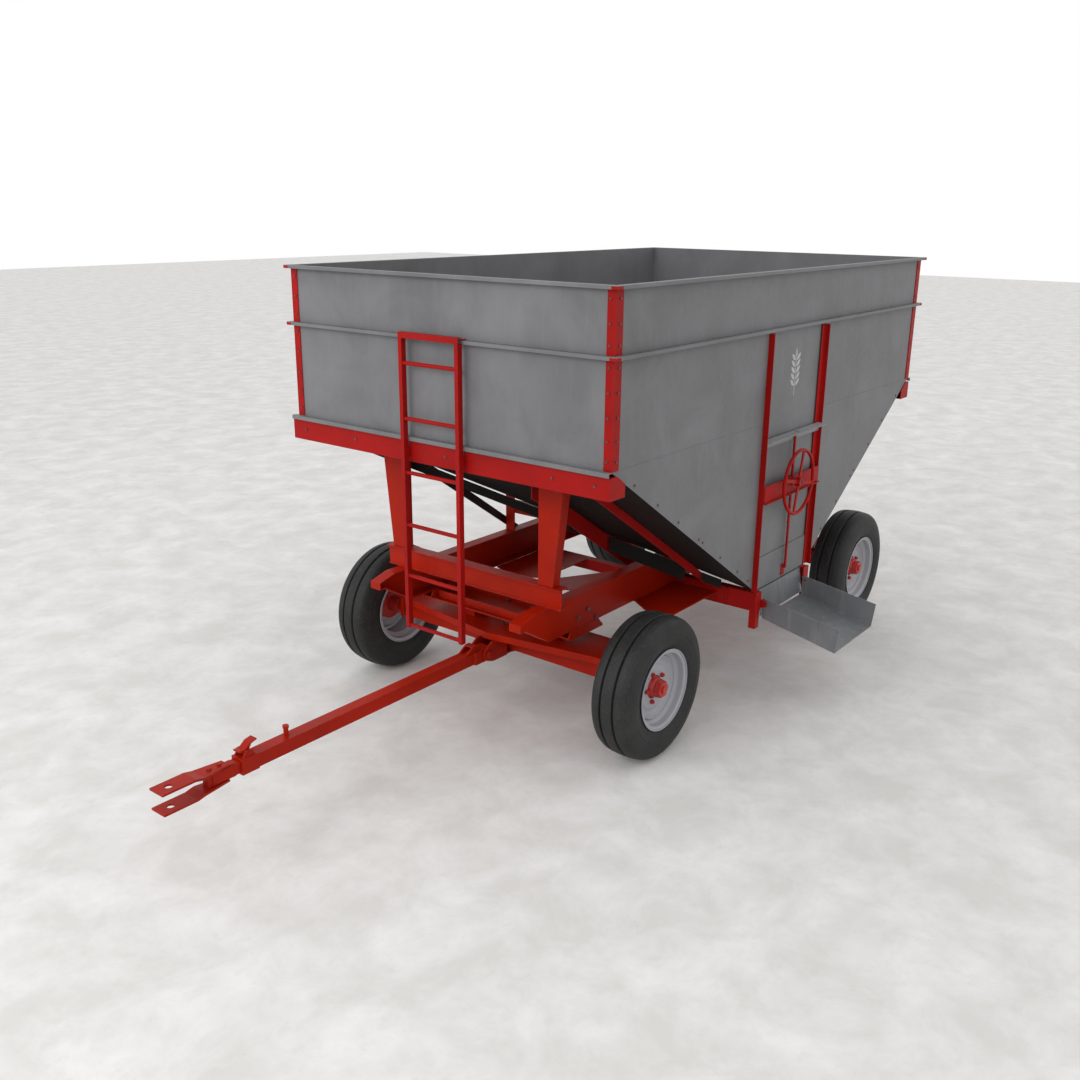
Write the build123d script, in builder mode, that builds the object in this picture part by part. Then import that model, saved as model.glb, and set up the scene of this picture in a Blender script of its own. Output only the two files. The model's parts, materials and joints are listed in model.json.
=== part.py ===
from build123d import *
from math import atan2, cos, degrees, pi, radians, sin, sqrt
import os

# Gravity-flow grain wagon on a four-wheel running gear with a steering tongue.
# Millimetres, +Z up. Working coordinates: x = 0 at the front wall's outer
# face and positive towards the tongue, y = 0 on the centre line and positive
# towards the discharge side (the wagon's left), z = 0 on the ground.

# ---------------------------------------------------------------- dimensions
BOX_L = 3430.0          # box length over the end walls
HW = 1003.0             # half width over the side walls
SHEET = 3.0             # wall and floor sheet
Z_SEAM = 1571.0         # where the walls end and the sloping floors begin
Z_MID = 2059.0          # top of the box proper, under the side boards
Z_RIM = 2344.0          # top of the side boards
RIM_W = 30.5            # outward flange of every horizontal rail
RIM_LIP = 16.0          # turned-down lip of those rails
Z_DOOR = 640.0          # lowest edge of the box at the discharge door
END_SLOPE = 0.657       # fall of the end floors per unit of length
XM = -BOX_L / 2         # middle of the box
X_TOE = -(Z_SEAM - Z_DOOR) / END_SLOPE       # foot of the front floor
SIDE_SLOPE = (Z_SEAM - Z_DOOR) / (2 * HW)    # fall of the cross floor

DOOR_HALF = 335.0       # door frame angles stand this far from the middle
BAR_OUT = 32.0          # outstanding leg of the door frame angles
BAR_FLAT = 50.0         # flat leg
BAR_T = 4.0
GATE_TRAVEL = 190.0
PINION_R = 25.0         # pitch radius of the lift pinion

WHEEL_R = 370.0         # 9.5L-15 implement tyre
TRACK_HALF = 896.0
FRONT_AXLE_X = -531.0
REAR_AXLE_X = -2945.0
RIM_R = 210.0
KING_X = -531.0

RAIL_Y = 475.0          # chassis side rails
RAIL_W = 70.0
RAIL_TOP = 775.0
RAIL_BOT = 595.0

TONGUE_Z = 378.0
TONGUE_PIN_X = -300.0
CLEVIS_X = 1645.0
HITCH_X = 1588.0
HITCH_R = 16.5
CHUTE_TIP_Y = 1484.0
SILL_END_Y = -1040.0

# The exported frame has its origin on the ground under the middle of the
# bounding box.
XO = (CLEVIS_X - (BOX_L + RIM_W)) / 2
YO = (CHUTE_TIP_Y + SILL_END_Y) / 2

os.makedirs("parts", exist_ok=True)


# ------------------------------------------------------------------- helpers
def at(x, y, z, xd=(1, 0, 0), zd=(0, 0, 1)):
    """Plane at a working coordinate."""
    return Plane(origin=(x - XO, y - YO, z), x_dir=xd, z_dir=zd)


def line_y(x, z):
    return Axis(origin=(x - XO, -YO, z), direction=(0, 1, 0))


def box(x0, x1, y0, y1, z0, z1, mode=Mode.ADD):
    with Locations(at((x0 + x1) / 2, (y0 + y1) / 2, (z0 + z1) / 2)):
        Box(abs(x1 - x0), abs(y1 - y0), abs(z1 - z0), mode=mode)


def rod(x, y, z, axis, r, length, mode=Mode.ADD):
    """Cylinder centred on a point, along 'x', 'y' or 'z'."""
    zd = {"x": (1, 0, 0), "y": (0, 1, 0), "z": (0, 0, 1)}[axis]
    xd = (0, 1, 0) if axis == "x" else (1, 0, 0)
    with Locations(at(x, y, z, xd, zd)):
        Cylinder(r, length, mode=mode)


def prism_x(pts, x0, x1, mode=Mode.ADD):
    """Profile given as (y, z), drawn from x0 to x1."""
    lo, hi = min(x0, x1), max(x0, x1)
    with BuildSketch(at(lo, 0, 0, (0, 1, 0), (1, 0, 0))) as profile:
        with BuildLine():
            Polyline(*pts, close=True)
        make_face()
    extrude(profile.sketch, amount=hi - lo, mode=mode)


def prism_y(pts, y0, y1, mode=Mode.ADD):
    """Profile given as (x, z), drawn from y0 to y1."""
    lo, hi = min(y0, y1), max(y0, y1)
    with BuildSketch(at(0, hi, 0, (1, 0, 0), (0, -1, 0))) as profile:
        with BuildLine():
            Polyline(*pts, close=True)
        make_face()
    extrude(profile.sketch, amount=hi - lo, mode=mode)


def prism_z(pts, z0, z1, mode=Mode.ADD):
    """Profile given as (x, y), drawn from z0 to z1."""
    with BuildSketch(at(0, 0, z0)) as profile:
        with BuildLine():
            Polyline(*pts, close=True)
        make_face()
    extrude(profile.sketch, amount=z1 - z0, mode=mode)


def sheet(pts, t, inside):
    """Flat sheet on the outer face through pts, t thick towards inside."""
    a, b, c = (Vector(*p) for p in pts[:3])
    n = (b - a).cross(c - a).normalized()
    if n.dot(Vector(*inside) - a) < 0:
        n = n * -1
    pl = at(a.X, a.Y, a.Z, (b - a).normalized(), n)
    local = [pl.to_local_coords(Vector(p[0] - XO, p[1] - YO, p[2]))
             for p in pts]
    with BuildSketch(pl) as profile:
        with BuildLine():
            Polyline(*[(v.X, v.Y) for v in local], close=True)
        make_face()
    extrude(profile.sketch, amount=t)


def mirror_x(x):
    """The same station measured from the rear wall."""
    return -BOX_L - x


def slope_z(x):
    return Z_SEAM + END_SLOPE * x


def cross_z(y):
    return Z_SEAM - SIDE_SLOPE * (y + HW)


# ----------------------------------------------------------- box: wall sheets
IN = HW - SHEET
with BuildPart() as end_walls:
    box(-SHEET, 0, -IN, IN, Z_SEAM, Z_MID - 0.2)

    box(-BOX_L, -BOX_L + SHEET, -IN, IN, Z_SEAM, Z_MID - 0.2)
end_walls.part.label = "end_walls"
export_step(end_walls.part, "parts/end_walls.step")

with BuildPart() as right_wall:
    box(-BOX_L, 0, -HW, -IN, Z_SEAM, Z_MID - 0.2)
right_wall.part.label = "right_wall"
export_step(right_wall.part, "parts/right_wall.step")

X_BAR = XM + DOOR_HALF
with BuildPart() as left_wall:
    box(-BOX_L, 0, IN, HW, Z_SEAM, Z_MID - 0.2)
    prism_y([(0, Z_SEAM - 0.2), (0, Z_SEAM - 1), (X_BAR, slope_z(X_BAR) - 1),
             (X_BAR, Z_SEAM - 0.2)], IN, HW)

    prism_y([(-BOX_L, Z_SEAM - 0.2), (-BOX_L, Z_SEAM - 1),
             (mirror_x(X_BAR), slope_z(X_BAR) - 1),
             (mirror_x(X_BAR), Z_SEAM - 0.2)], IN, HW)
left_wall.part.label = "left_wall"
export_step(left_wall.part, "parts/left_wall.step")

# The panel between the door frame angles, with the outlet cut in its foot.
OUTLET = (XM - 262, XM + 262, Z_DOOR + 14, 812.0)
with BuildPart() as door_panel:
    prism_y([(X_BAR - 0.2, Z_SEAM - 0.2), (X_BAR - 0.2, slope_z(X_BAR) - 1),
             (X_TOE, Z_DOOR), (mirror_x(X_TOE), Z_DOOR),
             (mirror_x(X_BAR - 0.2), slope_z(X_BAR) - 1),
             (mirror_x(X_BAR - 0.2), Z_SEAM - 0.2)], IN, HW)
    box(OUTLET[0], OUTLET[1], IN - 5, HW + 5, OUTLET[2], OUTLET[3],
        Mode.SUBTRACT)
door_panel.part.label = "door_panel"
export_step(door_panel.part, "parts/door_panel.step")

# ------------------------------------------------------ box: sloping floors
with BuildPart() as end_floors:
    sheet([(-4, IN, slope_z(-4)), (-4, -HW + 12, slope_z(-4)),
           (X_TOE + 4, IN, slope_z(X_TOE + 4))], SHEET, (XM, 0, 2000))

    sheet([(mirror_x(-4), IN, slope_z(-4)),
           (mirror_x(-4), -HW + 12, slope_z(-4)),
           (mirror_x(X_TOE + 4), IN, slope_z(X_TOE + 4))], SHEET,
          (XM, 0, 2000))
end_floors.part.label = "end_floors"
export_step(end_floors.part, "parts/end_floors.step")

with BuildPart() as cross_floor:
    sheet([(-9, -IN, cross_z(-IN)), (mirror_x(-9), -IN, cross_z(-IN)),
           (mirror_x(X_TOE), IN - 1.5, cross_z(IN - 1.5)),
           (X_TOE, IN - 1.5, cross_z(IN - 1.5))],
          SHEET, (XM, 0, 2000))
cross_floor.part.label = "cross_floor"
export_step(cross_floor.part, "parts/cross_floor.step")

# Turned-down seams along the two valleys between cross floor and end floors,
# interrupted where the floor strut and the outer stiffener pass.
with BuildPart() as valley_seams:
    for fx in ((lambda v: v), mirror_x):
        for xa, xb, drop in ((-115.0, -904.0, 52.0), (-957.0, -1196.0, 84.0),
                             (-1250.0, -1312.0, 50.0)):
            ya = -HW - xa * 2 * HW / -X_TOE
            yb = -HW - xb * 2 * HW / -X_TOE
            za, zb = slope_z(xa) - 8, slope_z(xb) - 8
            sheet([(fx(xa), ya, za), (fx(xb), yb, zb), (fx(xb), yb, zb - drop),
                   (fx(xa), ya, za - drop)], SHEET, (XM, 0, 0))
valley_seams.part.label = "valley_seams"
export_step(valley_seams.part, "parts/valley_seams.step")

# ------------------------------------------------------------- side boards
with BuildPart() as side_boards:
    for x in (-SHEET, -BOX_L):
        box(x, x + SHEET, -IN + 0.2, IN - 0.2, Z_MID + 0.2, Z_RIM - 3.2)

    box(-BOX_L, 0, IN, HW, Z_MID + 0.2, Z_RIM - 3.2)

    box(-BOX_L, 0, -HW, -IN, Z_MID + 0.2, Z_RIM - 3.2)
side_boards.part.label = "side_boards"
export_step(side_boards.part, "parts/side_boards.step")


# ------------------------------------------------------------------- rails
# Horizontal flanges round the box: a flat and a turned-down lip. The lips
# stop short at the corners, where the painted corner caps sit.
CAP = 36.0


def flange(z, depth, inner, flat=3.0):
    """Four straight flanges at height z, standing out RIM_W from the box."""
    o = RIM_W
    for s in (1, -1):
        x_in = -inner if s > 0 else -BOX_L + inner
        x_out = o if s > 0 else -BOX_L - o
        xl = x_out - s * flat
        box(x_in, x_out, -HW - o, HW + o, z - flat, z)
        box(xl, x_out, -HW - o + CAP, HW + o - CAP, z - depth, z - flat)
        y_in, y_out = s * (HW - inner), s * (HW + o)
        box(inner + 0.2 if inner < 0 else -inner - 0.2,
            -BOX_L + inner + 0.2, y_in, y_out, z - flat, z)
        box(o - CAP, -BOX_L - o + CAP, y_out - s * flat, y_out,
            z - depth, z - flat)


with BuildPart() as top_rail:
    flange(Z_RIM, RIM_LIP, SHEET)
top_rail.part.label = "top_rail"
export_step(top_rail.part, "parts/top_rail.step")


def outer_flange(z, depth, flat=3.0, sides=True):
    """Flanges fixed to the outside of the walls, in four runs."""
    o = RIM_W
    for s in (1, -1):
        x0 = 0.2 if s > 0 else -BOX_L - 0.2
        x1 = o if s > 0 else -BOX_L - o
        box(x0, x1, -HW - o, HW + o, z - flat, z)
        box(x1 - s * flat, x1, -HW - o + CAP, HW + o - CAP, z - depth,
            z - flat)
        if sides:
            box(0, -BOX_L, s * (HW + 0.2), s * (HW + o), z - flat, z)
            box(o - CAP, -BOX_L - o + CAP, s * (HW + o - flat), s * (HW + o),
                z - depth, z - flat)


with BuildPart() as wall_rails:
    outer_flange(Z_MID, RIM_LIP)

    for s in (1, -1):
        x0 = 0.2 if s > 0 else -BOX_L - 0.2
        x1 = RIM_W if s > 0 else -BOX_L - RIM_W
        box(x0, x1, -HW - RIM_W, HW + 8, Z_SEAM - 3, Z_SEAM)
        box(x1 - s * 3, x1, -HW - RIM_W, HW + 8, Z_SEAM - 20, Z_SEAM - 3)
wall_rails.part.label = "wall_rails"
export_step(wall_rails.part, "parts/wall_rails.step")

# ------------------------------------------------------------ corner posts
POST = 44.0
POST_T = 5.0
with BuildPart() as corner_posts:
    for z0, z1 in ((Z_SEAM + 0.3, Z_MID - 3.3), (Z_MID + 0.3, Z_RIM - 3.3)):
        for sx in (1, -1):
            for sy in (1, -1):
                xw = 0 if sx > 0 else -BOX_L
                xf = xw + sx * POST_T
                yw = sy * HW
                yf = yw + sy * POST_T
                box(xw, xf, yf, yw - sy * (POST - POST_T), z0, z1)
                box(xf, xw - sx * (POST + 4), yw, yf, z0, z1)
    # corner caps over the lips of the two upper rails
    for z in (Z_RIM, Z_MID):
        for sx in (1, -1):
            for sy in (1, -1):
                xo = RIM_W if sx > 0 else -BOX_L - RIM_W
                yo = sy * (HW + RIM_W)
                xi = xo - sx * CAP
                yi = yo - sy * CAP
                box(xo - sx * 3, xo, yi + sy * 0.2, yo, z - RIM_LIP, z - 3.2)
                box(xi + sx * 0.2, xo, yo - sy * 3, yo, z - RIM_LIP, z - 3.2)
corner_posts.part.label = "corner_posts"
export_step(corner_posts.part, "parts/corner_posts.step")


# -------------------------------------------------------------------- sills
# Folded channels across both ends, under the wall: front plate, a short top
# flange and a long bottom flange, closed by a plate at the discharge side.
def sill(fx):
    z0, z1, t = 1445.0, 1547.0, 5.0
    prism_y([(fx(16), z1), (fx(-34), z1), (fx(-34), z1 - t),
             (fx(16 - t), z1 - t), (fx(16 - t), z0 + t), (fx(-100), z0 + t),
             (fx(-100), z0), (fx(16), z0)], SILL_END_Y, HW)
    prism_y([(fx(16), z1), (fx(-38), z1), (fx(-100), slope_z(-100) - 1),
             (fx(-100), z0), (fx(16), z0)], HW, HW + 6)


with BuildPart() as end_sills:
    sill(lambda v: v)

    sill(mirror_x)
end_sills.part.label = "end_sills"
export_step(end_sills.part, "parts/end_sills.step")


# -------------------------------------------------- stiffeners under floors
def floor_angle(fx, y, depth, x_hi, x_lo, drop=1.5):
    """Angle iron running down under an end floor at one station."""
    t = 5.0
    a, b = slope_z(x_hi) - drop, slope_z(x_lo) - drop
    prism_y([(fx(x_hi), a), (fx(x_lo), b), (fx(x_lo), b - depth),
             (fx(x_hi), a - depth)], y, y + t)
    prism_y([(fx(x_hi), a), (fx(x_lo), b), (fx(x_lo), b - t * 1.2),
             (fx(x_hi), a - t * 1.2)], y - 35, y)


with BuildPart() as floor_stiffeners:
    for fx in ((lambda v: v), mirror_x):
        floor_angle(fx, 745, 50, -120, -1330)
        # deep strut from the end floor down to the cross channel
        prism_y([(fx(-300), slope_z(-300) - 1.5), (fx(-1400), 649.7),
                 (fx(-1400), RAIL_BOT + 0.4), (fx(-1338), RAIL_BOT + 0.4),
                 (fx(-300), slope_z(-300) - 96)], 330, 335)
        prism_y([(fx(-300), slope_z(-300) - 1.5), (fx(-1400), 649.7),
                 (fx(-1400), 643), (fx(-300), slope_z(-300) - 8)], 295, 330)
floor_stiffeners.part.label = "floor_stiffeners"
export_step(floor_stiffeners.part, "parts/floor_stiffeners.step")

# Struts from the cross floor down to the chassis cross channels.
CHAN_X = -1395.0
CHAN_Z0, CHAN_Z1 = 531.0, 645.0
STRUT_Y = -513.2
with BuildPart() as floor_struts:
    for fx in ((lambda v: v), mirror_x):
        z_top = cross_z(STRUT_Y + 3) - 4
        x_top = -402.0
        x_bot = (628 - Z_SEAM) / END_SLOPE
        prism_y([(fx(x_top), z_top), (fx(x_bot), 634), (fx(x_bot + 30), 606),
                 (fx(x_top + 46), z_top - 28), (fx(x_top + 18), z_top)],
                STRUT_Y - 3, STRUT_Y + 3)
floor_struts.part.label = "floor_struts"
export_step(floor_struts.part, "parts/floor_struts.step")

# ------------------------------------------------------------- side rails
# Deep chassis channels with bevelled noses at both ends.
RAIL_PTS = [(0, 745), (-112, RAIL_TOP), (-BOX_L + 112, RAIL_TOP),
            (-BOX_L, 745), (-BOX_L, 706), (-BOX_L + 40, 706),
            (-BOX_L + 225, RAIL_BOT), (-225, RAIL_BOT), (-40, 706), (0, 706)]


def rail(side):
    t = 6.0
    yo = side * (RAIL_Y + RAIL_W / 2)
    yi = side * (RAIL_Y - RAIL_W / 2)
    prism_y(RAIL_PTS, yo, yi)
    inner = [(-t, 741), (-111, RAIL_TOP - t), (-BOX_L + 111, RAIL_TOP - t),
             (-BOX_L + t, 741), (-BOX_L + t, 706 + t), (-BOX_L + 42, 706 + t),
             (-BOX_L + 227, RAIL_BOT + t), (-227, RAIL_BOT + t),
             (-42, 706 + t), (-t, 706 + t)]
    prism_y(inner, yo - side * t, yi - side * 5, Mode.SUBTRACT)


with BuildPart() as side_rails:
    rail(1)

    rail(-1)
side_rails.part.label = "side_rails"
export_step(side_rails.part, "parts/side_rails.step")

# --------------------------------------------------------- end bolsters
BOL_Y = 586.0
BOL_Z0, BOL_Z1 = RAIL_TOP + 0.2, 886.0


def bolster(fx):
    """Channel across the rails, open outwards, its top flange the wider."""
    t = 6.0
    prism_y([(fx(-198), BOL_Z1), (fx(-268), BOL_Z1), (fx(-268), BOL_Z0),
             (fx(-212), BOL_Z0), (fx(-212), BOL_Z0 + t),
             (fx(-212 - t), BOL_Z0 + t), (fx(-212 - t), BOL_Z1 - t),
             (fx(-198), BOL_Z1 - t)], -BOL_Y, BOL_Y)
    prism_y([(fx(-224), BOL_Z1 - t), (fx(-269), BOL_Z1 - t),
             (fx(-269), BOL_Z0 + t), (fx(-224), BOL_Z0 + t)],
            -BOL_Y - 1, BOL_Y + 1, Mode.SUBTRACT)


with BuildPart() as bolsters:
    bolster(lambda v: v)

    bolster(mirror_x)
bolsters.part.label = "bolsters"
export_step(bolsters.part, "parts/bolsters.step")


# --------------------------------------------------- tapered bolster legs
def legs(fx):
    """Pair of folded channel legs, wider at the top, cut to the floor."""
    t = 6.0
    x0, x1 = -207.0, -262.0
    for s in (1, -1):
        top0, top1 = slope_z(x0 - t) - 3, slope_z(x1) - 3
        prism_x([(s * 450, BOL_Z1 + 0.2), (s * 540, BOL_Z1 + 0.2),
                 (s * 600, top0), (s * 450, top0)], fx(x0), fx(x0 - t))
        for yb, yt, w in ((450, 450, 1), (540, 600, -1)):
            pts = [(s * yb, BOL_Z1 + 0.2), (s * (yb + w * t), BOL_Z1 + 0.2),
                   (s * (yt + w * t), top1), (s * yt, top1)]
            prism_x(pts, fx(x0 - t), fx(x1))


with BuildPart() as bolster_legs:
    legs(lambda v: v)

    legs(mirror_x)
bolster_legs.part.label = "bolster_legs"
export_step(bolster_legs.part, "parts/bolster_legs.step")


# ------------------------------------------------------------ mid frames
MIDF_X = -1110.0


def mid_frame(fx):
    """Post on the far rail and a beam under the cross floor."""
    t = 6.0
    xa, xb = MIDF_X, MIDF_X - 62
    z_top = cross_z(-445) - 4
    prism_z([(fx(xa), -510), (fx(xa), -445), (fx(xa - t), -445),
             (fx(xa - t), -504), (fx(xb), -504), (fx(xb), -510)],
            RAIL_TOP + 0.2, z_top)
    prism_y([(fx(xa - t), 950), (fx(xb), 950), (fx(xb), 944),
             (fx(xa - 2 * t), 944), (fx(xa - 2 * t), 886), (fx(xa - t), 886)],
            -504, 300)


with BuildPart() as mid_frames:
    mid_frame(lambda v: v)
    mid_frame(mirror_x)
mid_frames.part.label = "mid_frames"
export_step(mid_frames.part, "parts/mid_frames.step")


# --------------------------------------------- cross channels at the door
def cross_channel(fx):
    t = 6.0
    x0, x1 = CHAN_X, CHAN_X - 55
    prism_y([(fx(x0), CHAN_Z1 - 50.2), (fx(x1), CHAN_Z1 - 50.2),
             (fx(x1), CHAN_Z1 - 50.2 - t), (fx(x0 - t), CHAN_Z1 - 50.2 - t),
             (fx(x0 - t), CHAN_Z0 + t), (fx(x1), CHAN_Z0 + t),
             (fx(x1), CHAN_Z0), (fx(x0), CHAN_Z0)], -510, 510.5)
    prism_y([(fx(x0), Z_DOOR - 4), (fx(x1), Z_DOOR - 4),
             (fx(x1), Z_DOOR - 4 - t), (fx(x0 - t), Z_DOOR - 4 - t),
             (fx(x0 - t), CHAN_Z0 + t), (fx(x1), CHAN_Z0 + t),
             (fx(x1), CHAN_Z0), (fx(x0), CHAN_Z0)], 510.5, 1024)
    # stiffener in the channel and the closing plate at its outer end
    prism_y([(fx(x0 + 10), Z_DOOR - 8), (fx(x0), Z_DOOR - 8),
             (fx(x0), CHAN_Z0 + 2), (fx(x0 + 10), CHAN_Z0 + 2)], 846, 853)
    prism_y([(fx(x0 + 8), Z_DOOR - 4), (fx(x1), Z_DOOR - 4),
             (fx(x1), CHAN_Z0), (fx(x0 + 8), CHAN_Z0)], 1024, 1031)


with BuildPart() as cross_channels:
    cross_channel(lambda v: v)
    cross_channel(mirror_x)
    # short angles hanging under the outer ends
    for fx in ((lambda v: v), mirror_x):
        prism_z([(fx(CHAN_X + 2), 1031), (fx(CHAN_X - 40), 1031),
                 (fx(CHAN_X - 40), 1025), (fx(CHAN_X - 4), 1025),
                 (fx(CHAN_X - 4), 991), (fx(CHAN_X + 2), 991)],
                432, CHAN_Z0 - 0.2)
cross_channels.part.label = "cross_channels"
export_step(cross_channels.part, "parts/cross_channels.step")

# Gusset decks under the rails, on both sides of the door.
DECK_Z = RAIL_BOT - 0.2


def deck(fx):
    x_ch = CHAN_X + 0.2
    prism_z([(fx(x_ch), -440), (fx(-944), -440), (fx(-872), -269),
             (fx(-960), -110), (fx(x_ch), -110)], DECK_Z - 6, DECK_Z)
    prism_z([(fx(-1009), -36), (fx(-872), 60), (fx(-983), 440),
             (fx(-983), 511), (fx(-905), 625), (fx(-940), 785),
             (fx(x_ch), 785), (fx(x_ch), 192)], DECK_Z - 6, DECK_Z)


with BuildPart() as gusset_decks:
    deck(lambda v: v)
    deck(mirror_x)
gusset_decks.part.label = "gusset_decks"
export_step(gusset_decks.part, "parts/gusset_decks.step")

# -------------------------------------------------------------- door frame
YB = HW


def door_bar(s):
    """Angle with its flat leg held off the wall, so that the gate slides
    behind it."""
    xo = XM + s * DOOR_HALF
    prism_z([(xo, YB), (xo, YB + BAR_OUT), (xo - s * BAR_T, YB + BAR_OUT),
             (xo - s * BAR_T, YB + 10), (xo - s * BAR_FLAT, YB + 10),
             (xo - s * BAR_FLAT, YB + 6), (xo - s * BAR_T, YB + 6),
             (xo - s * BAR_T, YB)], 647, 2033)


with BuildPart() as door_bars:
    door_bar(1)
    door_bar(-1)
door_bars.part.label = "door_bars"
export_step(door_bars.part, "parts/door_bars.step")

# ---------------------------------------------------------------- hood angle
RACK_X = XM - 15.0
RACK_W = 18.0
PIN_X = RACK_X + RACK_W / 2 + PINION_R
WHEEL_Z = 1215.0
with BuildPart() as door_hood:
    prism_x([(YB + 10.3, 1486), (YB + 56, 1478), (YB + 56, 1474),
             (YB + 14.3, 1481), (YB + 14.3, 1440), (YB + 10.3, 1440)],
            XM - DOOR_HALF + BAR_T + 0.3, XM + DOOR_HALF - BAR_T - 0.3)
    box(RACK_X - RACK_W / 2 - 6, RACK_X + RACK_W / 2 + 10, YB + 12, YB + 42,
        1400, 1500, Mode.SUBTRACT)
door_hood.part.label = "door_hood"
export_step(door_hood.part, "parts/door_hood.step")

# ------------------------------------------------------- crossbar and gate
CB_Y = YB + BAR_OUT
with BuildPart() as crossbar:
    ci = DOOR_HALF - BAR_T - 0.3
    prism_x([(CB_Y, 1238), (CB_Y + 5, 1238), (CB_Y + 5, 1147),
             (CB_Y + 17, 1147), (CB_Y + 17, 1142), (CB_Y, 1142)],
            XM - ci, XM + ci)
    rod(PIN_X, CB_Y + 10, WHEEL_Z, "y", 24, 20)
    rod(PIN_X, CB_Y + 8, WHEEL_Z, "y", 12.06, 60, Mode.SUBTRACT)
    for s in (1, -1):
        box(XM + s * ci, XM + s * (ci - 6), YB + 14, CB_Y + 5, 1150, 1230)
crossbar.part.label = "crossbar"
export_step(crossbar.part, "parts/crossbar.step")

GATE_Z0 = 647.0
with BuildPart() as gate:
    box(XM - DOOR_HALF + BAR_T + 3, XM + DOOR_HALF - BAR_T - 3, YB + 0.8,
        YB + 5.3, GATE_Z0, 826)
gate.part.label = "gate"
export_step(gate.part, "parts/gate.step")

# Lift rack: a flat toothed bar on a bent foot that is welded to the gate.
TOOTH = 2 * pi * PINION_R / 10
with BuildPart() as lift_rack:
    xa, xb = RACK_X - RACK_W / 2, RACK_X + RACK_W / 2 - 3.2
    box(xa, xb, YB + 17, YB + 27, 700, 1459)
    n = 0
    z = WHEEL_Z - TOOTH * 16
    while z + TOOTH < 1240 + TOOTH:
        if z > 940:
            prism_y([(xb, z - 4.6), (xb + 5.6, z - 1.6), (xb + 5.6, z + 1.6),
                     (xb, z + 4.6)], YB + 17, YB + 27)
        z += TOOTH
    box(xa - 12, xb + 12, YB + 5.3, YB + 9.3, 655, 720)
    box(xa, xb, YB + 9.3, YB + 17, 700, 712)
lift_rack.part.label = "lift_rack"
export_step(lift_rack.part, "parts/lift_rack.step")

# --------------------------------------------- pinion shaft and handwheel
HWH_Y = YB + 80
HWH_R = 176.0
with BuildPart() as pinion_shaft:
    rod(PIN_X, (YB + 14.5 + HWH_Y + 12) / 2, WHEEL_Z, "y", 12,
        HWH_Y + 12 - YB - 14.5)
    rod(PIN_X, YB + 22, WHEEL_Z, "y", PINION_R - 4.2, 12)
    for i in range(10):
        a = radians(36 * i + 18)
        ca, sa = cos(a), sin(a)

        def tooth(r, w):
            return (PIN_X + r * ca - w * sa, WHEEL_Z + r * sa + w * ca)

        prism_y([tooth(PINION_R - 6, 4.2), tooth(PINION_R + 2.2, 1.5),
                 tooth(PINION_R + 2.2, -1.5), tooth(PINION_R - 6, -4.2)],
                YB + 16, YB + 28)
pinion_shaft.part.label = "pinion_shaft"
export_step(pinion_shaft.part, "parts/pinion_shaft.step")

with BuildPart() as handwheel:
    with Locations(at(PIN_X, HWH_Y, WHEEL_Z, (1, 0, 0), (0, 1, 0))):
        Torus(HWH_R, 9.5)
    rod(PIN_X, HWH_Y, WHEEL_Z, "y", 24, 30)
    for i in range(4):
        a = radians(90 * i + 12)
        with Locations(at(PIN_X + cos(a) * 97, HWH_Y, WHEEL_Z + sin(a) * 97,
                          (0, 1, 0), (cos(a), 0, sin(a)))):
            Box(8, 20, 160)
    rod(PIN_X, HWH_Y, WHEEL_Z, "y", 12, 40, Mode.SUBTRACT)
handwheel.part.label = "handwheel"
export_step(handwheel.part, "parts/handwheel.step")

# ------------------------------------------------------------------- chute
# Open tray, hinged at the top of its inner end on two lugs.
CH_HALF = 250.0
CH_T = 3.0
CH_Y0 = 1034.0
CH_PIN = (1052.0, 566.0)
CHUTE_SIDE = [(CH_Y0, 592), (CH_Y0, 478), (CHUTE_TIP_Y - 16, 382),
              (CHUTE_TIP_Y, 520)]
with BuildPart() as chute:
    for s in (1, -1):
        xo = XM + s * CH_HALF
        prism_x(CHUTE_SIDE, xo, xo - s * CH_T)
        rod(xo - s * CH_T / 2, CH_PIN[0], CH_PIN[1], "x", 6.1, 10,
            Mode.SUBTRACT)
    prism_x([(CH_Y0, 478), (CHUTE_TIP_Y - 16, 382),
             (CHUTE_TIP_Y - 15.6, 385.2), (CH_Y0, 481.2)],
            XM - CH_HALF, XM + CH_HALF)
chute.part.label = "chute"
export_step(chute.part, "parts/chute.step")

with BuildPart() as chute_lugs:
    for s in (1, -1):
        xl = XM + s * (CH_HALF + 12)
        prism_x([(1031.2, 590), (1058, 584), (1066, 566), (1058, 550),
                 (1031.2, 542)], xl, xl + s * 6)
        rod(XM + s * (CH_HALF + 7), CH_PIN[0], CH_PIN[1], "x", 6.0, 22)
chute_lugs.part.label = "chute_lugs"
export_step(chute_lugs.part, "parts/chute_lugs.step")

# Sheet apron under the door, between the cross channels: it leads the grain
# from the outlet into the chute.
with BuildPart() as door_apron:
    prism_x([(IN - 6, 634), (YB + 4, 634), (YB + 26, 500), (YB + 26, 490),
             (YB + 23, 490), (YB + 1, 631), (IN - 6, 631)],
            XM - 258, XM + 258)
door_apron.part.label = "door_apron"
export_step(door_apron.part, "parts/door_apron.step")

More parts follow.
